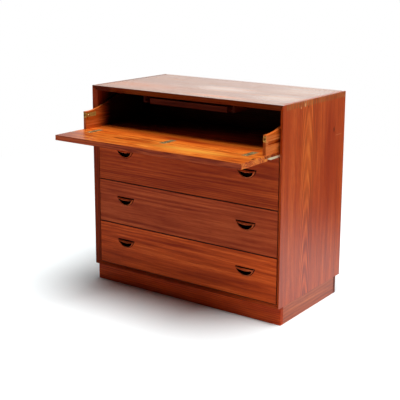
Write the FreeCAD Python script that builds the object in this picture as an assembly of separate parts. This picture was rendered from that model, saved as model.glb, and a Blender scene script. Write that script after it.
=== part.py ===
import FreeCAD, Part
import os

# A teak chest of three drawers with a drop-front writing drawer above them, on a recessed plinth.
# Lengths are millimetres: x runs to the right, y to the back and z up from the floor. Every piece
# is worked out with y = 0 on the front plane of the case and with all drawers shut. The helpers
# drawn_out and laid_open then bring the writing drawer to its working place, and save centres all.

Vector = FreeCAD.Vector

# The case: two sides, a top, a bottom and a back, with front edges bevelled inwards.
width = 920.0
depth = 490.0
side_thickness = 17.0
top_thickness = 22.0
bottom_thickness = 20.0
bevel_depth = 13.0
arris_width = 1.2
bottom_lip_height = 8.0
finger_start = 20.0
finger_pitch = 17.4
tongue_length = 7.0
tongue_thickness = 8.0
tongue_setback = 14.0
back_thickness = 6.0
back_rebate_width = 9.0
back_rebate_depth = 8.0
back_fit = 0.3

# The plinth: four boards, set back at the front and at the rear.
plinth_height = 72.0
plinth_thickness = 18.0
plinth_front_setback = 18.0
plinth_back_setback = 30.0
plinth_side_inset = 1.5
block_leg = 46.0
block_height = 30.0

# The four fronts, from the floor up, and the gaps about them.
lower_front_height = 182.0
middle_front_height = 182.0
upper_front_height = 202.0
flap_height = 169.5
front_thickness = 21.0
front_gap = 1.5
front_end_gap = 1.5
front_arris = 0.7

# The drawer boxes: sides dovetailed to a rebated front, a housed back and a thin grooved bottom.
drawer_side_thickness = 12.0
drawer_side_gap = 4.5
drawer_rear_gap = 12.0
drawer_side_foot = 12.5
drawer_side_head = 12.0
drawer_back_thickness = 12.0
drawer_back_inset = 6.0
drawer_back_head = 6.0
housing_depth = 4.0
drawer_bottom_thickness = 5.0
drawer_bottom_foot = 10.0
bottom_groove_depth = 6.0
bottom_groove_fit = 0.2
tail_length = 14.0
tail_pitch = 39.0
tail_width = 27.0
tail_flare = 2.4

# The runners: hardwood strips on the case sides, in a groove along the outside of each drawer side.
runner_height = 14.2
runner_top_fit = 0.3
runner_groove_height = 15.0
runner_groove_depth = 6.0
runner_tip_gap = 1.0
runner_stop = 17.0
runner_stop_gap = 1.5
runner_rear_gap = 4.0

# The half-moon pulls: a shallow step round a deep well, and an inset wooden lip to hook fingers under.
pull_spacing = 596.0
pull_width = 92.0
pull_height = 36.0
pull_from_top = 61.5
pull_rim_width = 4.5
pull_rim_depth = 2.2
pull_pocket_depth = 16.5
pull_lip_height = 17.5
pull_lip_top_recess = 4.5
pull_lip_edge_recess = 1.2
pull_lip_back = 8.5

# The writing drawer: a board with a rounded front edge, swooping sides and a low back.
desk_pull_out = 113.5
board_thickness = 11.0
board_end_gap = 2.0
flap_foot = 15.0
cove_fit = 0.5
desk_side_fit = 0.4
desk_side_thickness = 12.0
desk_side_front_height = 74.0
desk_side_rear_height = 128.0
desk_side_front_flat = 14.0
swoop_radius = 270.0
desk_groove_foot = 34.0
desk_back_thickness = 12.0
desk_back_tray_gap = 5.0
batten_width = 21.0
batten_gap = 2.0
batten_lip_gap = 12.0
batten_slope = 11.0

# Three flush hinges join the flap to the board, with their pins below the writing surface.
hinge_spacing = 375.0
hinge_width = 28.0
hinge_board_leaf_length = 43.0
hinge_flap_leaf_length = 31.0
hinge_leaf_thickness = 2.5
knuckle_radius = 2.75
knuckle_width = 9.5
knuckle_fit = 0.15
knuckle_offset = 0.25
knuckle_mortise_fit = 0.5
pin_radius = 1.25
pin_fit = 0.05

# The catches: a housing in the front end of each drawer side holds a bolt that a knob pushes forward,
# and the bolt enters a strike plate that is let flush into the flap.
catch_height = 59.0
catch_housing_thickness = 10.0
catch_housing_height = 17.0
catch_housing_length = 62.0
catch_plate_height = 22.0
catch_plate_thickness = 2.0
catch_mouth_radius = 4.4
catch_bore_radius = 3.5
catch_bore_depth = 24.0
bolt_travel = 6.0
bolt_setback = 1.0
bolt_length = 16.0
bolt_fit = 0.2
knob_from_front = 11.2
knob_stem_radius = 2.0
knob_radius = 3.8
knob_stand = 4.4
strike_length = 18.0
strike_width = 12.0
strike_thickness = 1.5
strike_hole_radius = 4.2
strike_hole_depth = 8.0

# The pencil tray, hung under the top between two rebated hangers.
tray_width = 375.0
tray_height = 22.0
tray_depth = 210.0
tray_setback = 43.0
tray_drop = 13.5
tray_wall = 8.0
tray_front_thickness = 11.0
tray_bottom_thickness = 4.0
tray_bottom_foot = 2.0
tray_bottom_housing = 3.0
hanger_height = 33.0
hanger_length = 260.0
hanger_web = 8.0
hanger_foot_width = 16.0
hanger_foot_thickness = 7.0
hanger_side_gap = 17.5
wing_thickness = 6.0
wing_setback = 30.0
wing_end_gap = 1.5
wing_fit = 0.3

# Countersunk wood screws.
screw_head_radius = 3.6
screw_shank_radius = 1.9
screw_head_depth = 2.4
plinth_screw_length = 42.0
block_screw_shares = ((0.2, 0.5), (0.5, 0.2))
runner_screw_length = 20.0
runner_screw_inset = 60.0
back_screw_length = 20.0
back_screw_side_inset = 4.5
back_screw_end_inset = 24.0

# One overrun serves every cut that has to break through a face.
overrun = 5.0

# Planes and levels of the case and of the four fronts, which every piece shares.
half_width = width / 2
inner_x = half_width - side_thickness
lip_top = plinth_height + bottom_lip_height
bottom_top = plinth_height + bottom_thickness
back_inner_face = depth - back_rebate_depth
front_face = bevel_depth
front_back_face = front_face + front_thickness
front_end_x = inner_x - front_end_gap
lower_front_foot = lip_top + front_gap
middle_front_foot = lower_front_foot + lower_front_height + front_gap
upper_front_foot = middle_front_foot + middle_front_height + front_gap
upper_front_top = upper_front_foot + upper_front_height
flap_low = upper_front_top + front_gap
flap_top = flap_low + flap_height
case_ceiling = flap_top + front_gap
height = case_ceiling + top_thickness

# Planes of the drawer boxes and of the writing drawer, with the hinge pins half a board's
# thickness below the writing surface and the same behind the flap's inner face.
box_outer_x = inner_x - drawer_side_gap
box_inner_x = box_outer_x - drawer_side_thickness
box_rear = back_inner_face - drawer_rear_gap
board_half = inner_x - board_end_gap
nose_radius = board_thickness / 2
cove_radius = nose_radius + cove_fit
axis_y = front_back_face - nose_radius
axis_z = flap_low + flap_foot
writing_surface = axis_z + nose_radius
board_underside = axis_z - nose_radius
desk_front = front_back_face + desk_side_fit
desk_inner_x = box_outer_x - desk_side_thickness
flap_reach = flap_height - flap_foot - axis_y + desk_pull_out
centring = Vector(0, (flap_reach - depth) / 2, 0)


def yz(y, z):
    """A point of a section across the case, seen from the right."""
    return Vector(0, y, z)


def outline(start, *steps):
    """A flat face from steps with one point, a straight line, or with two, an arc through the first."""
    edges = []
    here = start
    for step in steps:
        if len(step) == 1:
            edges.append(Part.makeLine(here, step[0]))
        else:
            edges.append(Part.Arc(here, step[0], step[1]).toShape())
        here = step[-1]
    edges.append(Part.makeLine(here, start))
    return Part.Face(Part.Wire(edges))


def polygon(corners):
    """A flat face with straight edges between its corners."""
    return Part.Face(Part.makePolygon(corners + corners[:1]))


def along_x(face, x0, x1):
    """A bar of one section, drawn in the plane x = 0, from x0 to x1."""
    return face.translated(Vector(x0, 0, 0)).extrude(Vector(x1 - x0, 0, 0))


def board(x0, x1, y0, y1, z0, z1):
    """A square-edged board between two opposite corners."""
    return Part.makeBox(x1 - x0, y1 - y0, z1 - z0, Vector(x0, y0, z0))


def rod(radius, start, direction, length):
    """A round rod from a starting point along a direction."""
    return Part.makeCylinder(radius, length, start, direction)


def other_hand(shape):
    """The matching piece for the left of the case."""
    return shape.mirror(Vector(0, 0, 0), Vector(1, 0, 0))


def both_hands(shape):
    """A right-hand piece together with its left-hand match."""
    return Part.Compound([other_hand(shape), shape])


def eased(block, plane_y):
    """A board with a small chamfer round the edges of its face in a plane of y."""
    chosen = []
    for edge in block.Edges:
        middle = edge.valueAt((edge.FirstParameter + edge.LastParameter) / 2)
        if edge.BoundBox.YLength < front_arris and abs(middle.y - plane_y) < front_arris:
            chosen.append(edge)
    return block.makeChamfer(front_arris, chosen)


def drawn_out(shape):
    """The writing drawer's place at rest, pulled out so that its flap lies open before the case."""
    return shape.translated(Vector(0, -desk_pull_out, 0))


def laid_open(shape):
    """The flap's place at rest, turned down about the hinge pins and drawn out with the drawer."""
    turned = shape.copy()
    turned.rotate(Vector(0, axis_y, axis_z), Vector(1, 0, 0), 90)
    return drawn_out(turned)


def save(name, shape):
    """Write one named piece in the centred frame."""
    placed = shape.translated(centring)
    placed.exportStep("parts/" + name + ".step")
    print(name, len(placed.Solids), "solids", round(placed.Volume), "mm3", placed.isValid())


os.makedirs("parts", exist_ok=True)


# Wood screws, countersunk flush.
def screw(head, direction, length):
    """A screw whose head lies level with a face, at a point, and whose shank goes in from there."""
    cone = Part.makeCone(screw_head_radius, screw_shank_radius, screw_head_depth, head, direction)
    shank = rod(screw_shank_radius, head, direction, length)
    return cone.fuse(shank).removeSplitter()


# Case top. Behind the front bevel its ends are mitred, and then cut into box-joint fingers whose
# end grain shows on the outside of the sides.
def side_fingers():
    """What the right side takes out of the top: a mitred strip at the front, then every other finger."""
    mitre = polygon([
        Vector(inner_x, -overrun, case_ceiling),
        Vector(half_width + overrun, -overrun, case_ceiling),
        Vector(half_width + overrun, -overrun, height + overrun),
        Vector(half_width, -overrun, height),
    ])
    taken = [mitre.extrude(Vector(0, overrun + finger_start, 0))]
    count = 2 * round((depth - finger_start) / finger_pitch) + 1
    finger_width = (depth - finger_start) / count
    for finger in range(0, count, 2):
        low_y = finger_start + finger * finger_width
        high_y = low_y + finger_width
        if finger + 1 == count:
            high_y = high_y + overrun
        taken.append(board(inner_x, half_width + overrun, low_y, high_y, case_ceiling, height + overrun))
    return Part.Compound(taken)


top_arris = arris_width * top_thickness / side_thickness
top_section = polygon([
    yz(0, height),
    yz(depth, height),
    yz(depth, case_ceiling + back_rebate_width),
    yz(back_inner_face, case_ceiling + back_rebate_width),
    yz(back_inner_face, case_ceiling),
    yz(bevel_depth, case_ceiling),
    yz(0, height - top_arris),
])
top_panel = along_x(top_section, -half_width, half_width)
top_panel = top_panel.cut(side_fingers()).cut(other_hand(side_fingers()))

# Case bottom. It is tongued into the sides and rebated so that the lowest front laps over its lip,
# and the lip's bevel meets those of the sides in a mitre.
bottom_arris = arris_width * bottom_lip_height / side_thickness
bottom_rebate_y = front_back_face + front_gap
bottom_section = polygon([
    yz(0, plinth_height),
    yz(back_inner_face, plinth_height),
    yz(back_inner_face, bottom_top),
    yz(bottom_rebate_y, bottom_top),
    yz(bottom_rebate_y, lip_top),
    yz(bevel_depth, lip_top),
    yz(0, plinth_height + bottom_arris),
])
mitre_ear = polygon([
    Vector(inner_x, 0, plinth_height),
    Vector(half_width, 0, plinth_height),
    Vector(inner_x, 0, lip_top),
]).extrude(Vector(0, bevel_depth, 0))
mitre_ear = mitre_ear.common(along_x(bottom_section, inner_x, half_width))
tongue_low = plinth_height + (bottom_thickness - tongue_thickness) / 2
tongue = board(
    inner_x, inner_x + tongue_length,
    bevel_depth + tongue_setback, back_inner_face,
    tongue_low, tongue_low + tongue_thickness,
)
bottom_panel = along_x(bottom_section, -inner_x, inner_x)
for joint in (mitre_ear, tongue):
    bottom_panel = bottom_panel.fuse([joint, other_hand(joint)])
bottom_panel = bottom_panel.removeSplitter()

# Case sides, bevelled at the front and rebated for the back. What the top and the bottom take up
# of a corner is cut away, so that the joints close.
side_section = polygon([
    Vector(half_width, 0, plinth_height),
    Vector(half_width, depth, plinth_height),
    Vector(inner_x + back_rebate_width, depth, plinth_height),
    Vector(inner_x + back_rebate_width, back_inner_face, plinth_height),
    Vector(inner_x, back_inner_face, plinth_height),
    Vector(inner_x, bevel_depth, plinth_height),
    Vector(half_width - arris_width, 0, plinth_height),
])
side_panel = side_section.extrude(Vector(0, 0, height - plinth_height))
side_panel = side_panel.cut(top_panel).cut(bottom_panel)

# Case back: thin board in the rebates, screwed to the sides, the top and the bottom.
back_half = inner_x + back_rebate_width - back_fit
back_outer_face = back_inner_face + back_thickness
back_head = case_ceiling + back_rebate_width - back_fit
back_panel = board(-back_half, back_half, back_inner_face, back_outer_face, plinth_height, back_head)
back_screw_x = inner_x + back_screw_side_inset
back_screw_low = bottom_top + back_screw_end_inset
back_screw_high = case_ceiling - back_screw_end_inset
back_screw_places = []
for screw_z in (back_screw_low, (back_screw_low + back_screw_high) / 2, back_screw_high):
    back_screw_places.append((back_screw_x, screw_z))
for screw_z in ((plinth_height + bottom_top) / 2, case_ceiling + back_screw_side_inset):
    back_screw_places.append((inner_x / 2, screw_z))
back_screws = []
for screw_x, screw_z in back_screw_places:
    head = Vector(screw_x, back_outer_face, screw_z)
    back_screws.append(screw(head, Vector(0, -1, 0), back_screw_length))
back_screws = both_hands(Part.Compound(back_screws))

# Plinth: the front and back boards run through and the side boards butt between them. Three-cornered
# blocks are glued in the corners and screwed up into the case bottom.
plinth_x = half_width - plinth_side_inset
plinth_inner_x = plinth_x - plinth_thickness
plinth_front_inner_y = plinth_front_setback + plinth_thickness
plinth_back_y = depth - plinth_back_setback
plinth_back_inner_y = plinth_back_y - plinth_thickness
block_foot = plinth_height - block_height
plinth_front = board(-plinth_x, plinth_x, plinth_front_setback, plinth_front_inner_y, 0, plinth_height)
plinth_back = board(-plinth_x, plinth_x, plinth_back_inner_y, plinth_back_y, 0, plinth_height)
plinth_side = board(
    plinth_inner_x, plinth_x, plinth_front_inner_y, plinth_back_inner_y, 0, plinth_height
)
plinth_blocks = []
plinth_screws = []
for corner_y, leg in ((plinth_front_inner_y, block_leg), (plinth_back_inner_y, -block_leg)):
    corner = polygon([
        Vector(plinth_inner_x, corner_y, block_foot),
        Vector(plinth_inner_x, corner_y + leg, block_foot),
        Vector(plinth_inner_x - block_leg, corner_y, block_foot),
    ])
    plinth_blocks.append(corner.extrude(Vector(0, 0, block_height)))
    for across, along in block_screw_shares:
        head = Vector(plinth_inner_x - block_leg * across, corner_y + leg * along, block_foot)
        plinth_screws.append(screw(head, Vector(0, 0, 1), plinth_screw_length))
plinth_screws = both_hands(Part.Compound(plinth_screws))
plinth_blocks = both_hands(Part.Compound(plinth_blocks)).cut(plinth_screws)

# Runners, one pair to each drawer, screwed to the case sides. Their front ends stop the drawers.
runner_tip_x = box_outer_x - runner_groove_depth + runner_tip_gap
runner_front = front_back_face + runner_stop + runner_stop_gap
runner_rear = back_inner_face - runner_rear_gap


def box_low(front_foot):
    """The underside of the drawer sides behind a front."""
    return front_foot + drawer_side_foot


def box_height(front_height):
    """The height of the drawer sides behind a front."""
    return front_height - drawer_side_foot - drawer_side_head


def middle_groove_low(front_foot, front_height):
    """The underside of a runner groove at half the height of the drawer sides."""
    return box_low(front_foot) + (box_height(front_height) - runner_groove_height) / 2


groove_lows = {
    "desk_drawer": writing_surface + desk_groove_foot,
    "drawer_2": middle_groove_low(upper_front_foot, upper_front_height),
    "drawer_3": middle_groove_low(middle_front_foot, middle_front_height),
    "drawer_4": middle_groove_low(lower_front_foot, lower_front_height),
}
runners = {}
runner_screws = []
for drawer_name, groove_low in groove_lows.items():
    runner_top = groove_low + runner_groove_height - runner_top_fit
    runner_low = runner_top - runner_height
    runner = board(runner_tip_x, inner_x, runner_front, runner_rear, runner_low, runner_top)
    for screw_y in (runner_front + runner_screw_inset, runner_rear - runner_screw_inset):
        head = Vector(runner_tip_x, screw_y, (runner_low + runner_top) / 2)
        runner_screw = screw(head, Vector(1, 0, 0), runner_screw_length)
        runner_screws.append(runner_screw)
        runner = runner.cut(runner_screw)
    runners[drawer_name] = both_hands(runner)
runner_screws = Part.Compound(runner_screws)

# The case's pieces, with the holes that the screws make.
side_panel = side_panel.cut(runner_screws).cut(back_screws)
save("top_panel", top_panel.cut(back_screws))
save("side_panel_left", other_hand(side_panel))
save("side_panel_right", side_panel)
save("bottom_panel", bottom_panel.cut(plinth_screws).cut(back_screws))
save("back_panel", back_panel.cut(back_screws))
save("back_panel_screws", back_screws)
save("plinth_front", plinth_front)
save("plinth_back", plinth_back)
save("plinth_left", other_hand(plinth_side))
save("plinth_right", plinth_side)
save("plinth_corner_blocks", plinth_blocks)
save("plinth_screws", plinth_screws)
for drawer_name, pair in runners.items():
    save(drawer_name + "_runners", pair)
save("runner_screws", both_hands(runner_screws))


# Half-moon pulls, cut into the face of a front and fitted with a wooden lip.
def half_moon(chord, rise, x, top, y):
    """A straight top edge with an arc hung below it, in a plane of y."""
    left = Vector(x - chord / 2, y, top)
    right = Vector(x + chord / 2, y, top)
    lowest = Vector(x, y, top - rise)
    return Part.Wire([Part.makeLine(right, left), Part.Arc(left, lowest, right).toShape()])


def pull_pocket(x, top):
    """The space of one pull: a shallow step in the face, and a well inside it."""
    well_chord = pull_width - 2 * pull_rim_width
    well_rise = pull_height - pull_rim_width
    step = Part.Face(half_moon(pull_width, pull_height, x, top, front_face - overrun))
    step = step.extrude(Vector(0, overrun + pull_rim_depth, 0))
    well = Part.Face(half_moon(well_chord, well_rise, x, top, front_face))
    well = well.extrude(Vector(0, pull_pocket_depth, 0))
    return step.fuse(well).removeSplitter()


def pull_lip(x, top):
    """One lip: it hangs from the straight edge of the pocket and slopes out towards its lower edge."""
    chord = pull_width - 2 * pull_rim_width
    back = front_face + pull_lip_back
    plate = Part.Face(half_moon(chord, pull_lip_height, x, top, front_face))
    slope = polygon([
        yz(front_face + pull_lip_top_recess, top),
        yz(back, top),
        yz(back, top - pull_lip_height),
        yz(front_face + pull_lip_edge_recess, top - pull_lip_height),
    ])
    return plate.extrude(Vector(0, pull_lip_back, 0)).common(along_x(slope, x - chord / 2, x + chord / 2))


def pull_pair(maker, front_top):
    """Both pockets, or both lips, of one front."""
    top = front_top - pull_from_top
    return Part.Compound([maker(x, top) for x in (-pull_spacing / 2, pull_spacing / 2)])


# Drawers 2, 3 and 4. The front's ends are rebated to lap past the box, and the tails of the sides
# enter the front from behind without showing on its face.
def rebated_front(foot, front_height):
    """The front board with its eased face and its rebated ends."""
    lap_y = front_back_face - tail_length
    face_part = board(-front_end_x, front_end_x, front_face, lap_y, foot, foot + front_height)
    box_part = board(-box_outer_x, box_outer_x, lap_y, front_back_face, foot, foot + front_height)
    return eased(face_part, front_face).fuse(box_part).removeSplitter()


def runner_groove(front_end, groove_low):
    """The groove along the outside of a drawer side, stopped behind the side's front end."""
    return board(
        box_outer_x - runner_groove_depth, box_outer_x + overrun,
        front_end + runner_stop, box_rear + overrun,
        groove_low, groove_low + runner_groove_height,
    )


def dovetailed_side(low, side_height, groove_low):
    """The right side of a drawer box, with tails at its front end and the runner's groove outside."""
    side = board(box_inner_x, box_outer_x, front_back_face, box_rear, low, low + side_height)
    count = round(side_height / tail_pitch)
    tip_half = tail_width / 2
    root_half = tip_half - tail_flare
    tails = []
    for tail in range(count):
        middle = low + side_height * (tail + 0.5) / count
        section = polygon([
            yz(front_back_face, middle - root_half),
            yz(front_back_face - tail_length, middle - tip_half),
            yz(front_back_face - tail_length, middle + tip_half),
            yz(front_back_face, middle + root_half),
        ])
        tails.append(along_x(section, box_inner_x, box_outer_x))
    side = side.fuse(tails).removeSplitter()
    return side.cut(runner_groove(front_back_face, groove_low))


def make_drawer(name, foot, front_height):
    """All the pieces of one drawer."""
    low = box_low(foot)
    side_height = box_height(front_height)
    bottom_low = low + drawer_bottom_foot
    bottom_high = bottom_low + drawer_bottom_thickness
    groove_half = box_inner_x + bottom_groove_depth
    groove_front = front_back_face - bottom_groove_depth
    bottom_half = groove_half - bottom_groove_fit
    bottom_front = groove_front + bottom_groove_fit
    back_rear = box_rear - drawer_back_inset
    back_half_length = box_inner_x + housing_depth
    back_low = bottom_high + bottom_groove_fit
    back_high = low + side_height - drawer_back_head
    front_top = foot + front_height

    groove = board(
        -groove_half, groove_half, groove_front, box_rear + overrun,
        bottom_low - bottom_groove_fit, back_low,
    )
    bottom = board(-bottom_half, bottom_half, bottom_front, box_rear, bottom_low, bottom_high)
    back = board(
        -back_half_length, back_half_length,
        back_rear - drawer_back_thickness, back_rear,
        back_low, back_high,
    )
    side = dovetailed_side(low, side_height, groove_lows[name])
    front = rebated_front(foot, front_height).cut(both_hands(side)).cut(groove)
    side = side.cut(groove).cut(back)
    save(name + "_front", front.cut(pull_pair(pull_pocket, front_top)))
    save(name + "_pulls", pull_pair(pull_lip, front_top))
    save(name + "_side_left", other_hand(side))
    save(name + "_side_right", side)
    save(name + "_back", back)
    save(name + "_bottom", bottom)


make_drawer("drawer_2", upper_front_foot, upper_front_height)
make_drawer("drawer_3", middle_front_foot, middle_front_height)
make_drawer("drawer_4", lower_front_foot, lower_front_height)

# Hinges. In section the flap leaf is cranked, so that its knuckle clears the edge of the board when
# the flap stands upright. Sections are drawn shut, about the pin.
hinge_centres = (-hinge_spacing, 0, hinge_spacing)
flap_leaf_face_y = axis_y + nose_radius
flap_leaf_back_y = flap_leaf_face_y - hinge_leaf_thickness
crank_low_z = axis_z + cove_radius
crank_high_z = crank_low_z + hinge_leaf_thickness
web_back_y = axis_y - knuckle_radius
web_face_y = axis_y - knuckle_offset
flap_leaf_section = polygon([
    yz(flap_leaf_back_y, crank_low_z + hinge_flap_leaf_length),
    yz(flap_leaf_face_y, crank_low_z + hinge_flap_leaf_length),
    yz(flap_leaf_face_y, crank_low_z),
    yz(web_back_y, crank_low_z),
    yz(web_back_y, crank_high_z),
    yz(flap_leaf_back_y, crank_high_z),
])
board_leaf_low = writing_surface - hinge_leaf_thickness
board_leaf_section = polygon([
    yz(axis_y, board_leaf_low),
    yz(axis_y, writing_surface),
    yz(axis_y + hinge_board_leaf_length, writing_surface),
    yz(axis_y + hinge_board_leaf_length, board_leaf_low),
])


def pin_bore(x):
    """The bore for the pin, through a whole hinge."""
    start = Vector(x - hinge_width, axis_y, axis_z)
    return rod(pin_radius + pin_fit, start, Vector(1, 0, 0), 2 * hinge_width)


def flap_leaf(x):
    """The leaf let into the flap, with the middle knuckle on a web."""
    half = knuckle_width / 2
    leaf = along_x(flap_leaf_section, x - hinge_width / 2, x + hinge_width / 2)
    web = board(x - half, x + half, web_back_y, web_face_y, axis_z, crank_high_z)
    knuckle = rod(knuckle_radius, Vector(x - half, axis_y, axis_z), Vector(1, 0, 0), knuckle_width)
    return leaf.fuse([web, knuckle]).removeSplitter().cut(pin_bore(x))


def board_leaf(x):
    """The leaf let into the writing board, with the two outer knuckles below its front edge."""
    leaf = along_x(board_leaf_section, x - hinge_width / 2, x + hinge_width / 2)
    inner = knuckle_width / 2 + knuckle_fit
    length = hinge_width / 2 - inner
    knuckles = []
    for start_x in (x - hinge_width / 2, x + inner):
        start = Vector(start_x, axis_y, axis_z)
        knuckles.append(rod(knuckle_radius, start, Vector(1, 0, 0), length))
        knuckles.append(board(
            start_x, start_x + length, axis_y, axis_y + knuckle_radius, axis_z, board_leaf_low
        ))
    return leaf.fuse(knuckles).removeSplitter().cut(pin_bore(x))


def hinge_pin(x):
    """The pin of one hinge."""
    start = Vector(x - hinge_width / 2, axis_y, axis_z)
    return rod(pin_radius, start, Vector(1, 0, 0), hinge_width)


flap_leaves = Part.Compound([flap_leaf(x) for x in hinge_centres])
board_leaves = Part.Compound([board_leaf(x) for x in hinge_centres])
hinge_pins = Part.Compound([hinge_pin(x) for x in hinge_centres])

# Writing board. Its front edge is a full round about the hinge pins, cut away at the knuckles.
board_section = outline(
    yz(box_rear, board_underside),
    [yz(axis_y, board_underside)],
    [yz(axis_y - nose_radius, axis_z), yz(axis_y, writing_surface)],
    [yz(box_rear, writing_surface)],
)
writing_board = along_x(board_section, -board_half, board_half).cut(board_leaves)
for hinge_x in hinge_centres:
    writing_board = writing_board.cut(board(
        hinge_x - hinge_width / 2, hinge_x + hinge_width / 2,
        axis_y - nose_radius - overrun, axis_y + knuckle_radius + knuckle_mortise_fit,
        board_underside - overrun, writing_surface + overrun,
    ))

# Battens under the board's ends, cut back on a slope where the flap's lower lip swings.
batten_top_y = axis_y + flap_foot + batten_lip_gap
batten_low = upper_front_top + batten_gap
batten_section = polygon([
    yz(batten_top_y, board_underside),
    yz(box_rear, board_underside),
    yz(box_rear, batten_low),
    yz(batten_top_y + batten_slope, batten_low),
])
batten = along_x(batten_section, board_half - batten_width, board_half)

# Catches. The bolt lies in a bore, drawn back behind the mouth, and its knob works in a slot.
catch_x = desk_inner_x + catch_housing_thickness / 2
catch_z = writing_surface + catch_height
bolt_tip_y = desk_front + bolt_setback
knob_y = desk_front + knob_from_front
slot_half_height = knob_stem_radius + bolt_fit
catch_plate = board(
    desk_inner_x, box_outer_x,
    desk_front, desk_front + catch_plate_thickness,
    catch_z - catch_plate_height / 2, catch_z + catch_plate_height / 2,
)
catch_body = board(
    desk_inner_x, desk_inner_x + catch_housing_thickness,
    desk_front, desk_front + catch_housing_length,
    catch_z - catch_housing_height / 2, catch_z + catch_housing_height / 2,
)
catch_block = catch_plate.fuse(catch_body).removeSplitter()
catch_mouth = Part.makeCone(
    catch_mouth_radius, catch_bore_radius, catch_plate_thickness,
    Vector(catch_x, desk_front, catch_z), Vector(0, 1, 0),
)
catch_bore = rod(
    catch_bore_radius, Vector(catch_x, desk_front, catch_z), Vector(0, 1, 0), catch_bore_depth
)
catch_slot = board(
    desk_inner_x - overrun, catch_x,
    knob_y - bolt_travel - slot_half_height, knob_y + slot_half_height,
    catch_z - slot_half_height, catch_z + slot_half_height,
)
catch_housing = catch_block.cut(catch_mouth).cut(catch_bore).cut(catch_slot)
bolt = rod(
    catch_bore_radius - bolt_fit, Vector(catch_x, bolt_tip_y, catch_z), Vector(0, 1, 0), bolt_length
)
knob_x = desk_inner_x - knob_stand
knob_stem = rod(knob_stem_radius, Vector(knob_x, knob_y, catch_z), Vector(1, 0, 0), catch_x - knob_x)
knob = Part.makeSphere(knob_radius, Vector(knob_x, knob_y, catch_z), Vector(1, 0, 0))
catch_bolt = bolt.fuse([knob_stem, knob]).removeSplitter()

# Sides of the writing drawer. The top edge is flat at the front, swoops up in two equal arcs that
# meet on a slope, and is flat again to the rear.
front_top_z = writing_surface + desk_side_front_height
rear_top_z = writing_surface + desk_side_rear_height
swoop_rise = desk_side_rear_height - desk_side_front_height
swoop_run = (swoop_rise * (4 * swoop_radius - swoop_rise)) ** 0.5
swoop_start = desk_front + desk_side_front_flat
swoop_end = swoop_start + swoop_run
arc_rise = swoop_rise / 8
arc_run = (arc_rise * (2 * swoop_radius - arc_rise)) ** 0.5
desk_side_section = outline(
    yz(box_rear, writing_surface),
    [yz(desk_front, writing_surface)],
    [yz(desk_front, front_top_z)],
    [yz(swoop_start, front_top_z)],
    [
        yz(swoop_start + arc_run, front_top_z + arc_rise),
        yz((swoop_start + swoop_end) / 2, (front_top_z + rear_top_z) / 2),
    ],
    [yz(swoop_end - arc_run, rear_top_z - arc_rise), yz(swoop_end, rear_top_z)],
    [yz(box_rear, rear_top_z)],
)
desk_back_rear = box_rear - drawer_back_inset
desk_back_high = case_ceiling - tray_drop - tray_height - desk_back_tray_gap
desk_back = board(
    -desk_inner_x - housing_depth, desk_inner_x + housing_depth,
    desk_back_rear - desk_back_thickness, desk_back_rear,
    writing_surface, desk_back_high,
)
desk_side = along_x(desk_side_section, desk_inner_x, box_outer_x)
desk_side = desk_side.cut(runner_groove(desk_front, groove_lows["desk_drawer"]))
desk_side = desk_side.cut(desk_back).cut(catch_block)

save("writing_board", drawn_out(writing_board))
save("desk_side_left", drawn_out(other_hand(desk_side)))
save("desk_side_right", drawn_out(desk_side))
save("desk_back", drawn_out(desk_back))
save("desk_batten_left", drawn_out(other_hand(batten)))
save("desk_batten_right", drawn_out(batten))
save("catch_housing_left", drawn_out(other_hand(catch_housing)))
save("catch_housing_right", drawn_out(catch_housing))
save("catch_bolt_left", drawn_out(other_hand(catch_bolt)))
save("catch_bolt_right", drawn_out(catch_bolt))
save("hinge_board_leaves", drawn_out(board_leaves))
save("hinge_pins", drawn_out(hinge_pins))

# Strike plates, let in flush where the bolts meet the flap, each over a hole in the wood.
strike_plate = board(
    catch_x - strike_width / 2, catch_x + strike_width / 2,
    front_back_face - strike_thickness, front_back_face,
    catch_z - strike_length / 2, catch_z + strike_length / 2,
)
strike_hole = rod(
    strike_hole_radius, Vector(catch_x, front_back_face + overrun, catch_z),
    Vector(0, -1, 0), overrun + strike_hole_depth,
)
strike_recesses = both_hands(strike_plate.fuse(strike_hole))
strike_plates = both_hands(strike_plate.cut(strike_hole))

# Flap. Above the pins its inner edge is coved round the nose of the board, and below them a thinner
# lip reaches on, to lie under the board when the flap is down.
lip_back_y = axis_y - cove_radius
cove_middle = cove_radius * 0.5 ** 0.5
flap_section = outline(
    yz(front_face, flap_low),
    [yz(front_face, flap_top)],
    [yz(front_back_face, flap_top)],
    [yz(front_back_face, axis_z + cove_radius)],
    [yz(axis_y, axis_z + cove_radius)],
    [yz(axis_y - cove_middle, axis_z + cove_middle), yz(lip_back_y, axis_z)],
    [yz(lip_back_y, flap_low)],
)
flap = eased(along_x(flap_section, -front_end_x, front_end_x), front_face)
flap = flap.cut(flap_leaves).cut(strike_recesses).cut(pull_pair(pull_pocket, flap_top))
for hinge_x in hinge_centres:
    flap = flap.cut(board(
        hinge_x - hinge_width / 2, hinge_x + hinge_width / 2,
        web_back_y, axis_y, axis_z, crank_low_z,
    ))

save("desk_flap", laid_open(flap))
save("desk_flap_pulls", laid_open(pull_pair(pull_lip, flap_top)))
save("hinge_flap_leaves", laid_open(flap_leaves))
save("strike_plates", laid_open(strike_plates))

# Pencil tray. Its sides carry wings that slide on the feet of the hangers.
tray_half = tray_width / 2
tray_top = case_ceiling - tray_drop
tray_low = tray_top - tray_height
tray_box_y = tray_setback + tray_front_thickness
tray_rear = tray_setback + tray_depth
tray_bottom_low = tray_low + tray_bottom_foot
tray_bottom_high = tray_bottom_low + tray_bottom_thickness
hanger_low = case_ceiling - hanger_height
hanger_foot_top = hanger_low + hanger_foot_thickness
hanger_inner_x = tray_half + hanger_side_gap
hanger_outer_x = hanger_inner_x + hanger_foot_width
hanger_web_x = hanger_outer_x - hanger_web
hanger_rear = tray_setback + hanger_length
wing_low = hanger_foot_top + wing_fit

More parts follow.
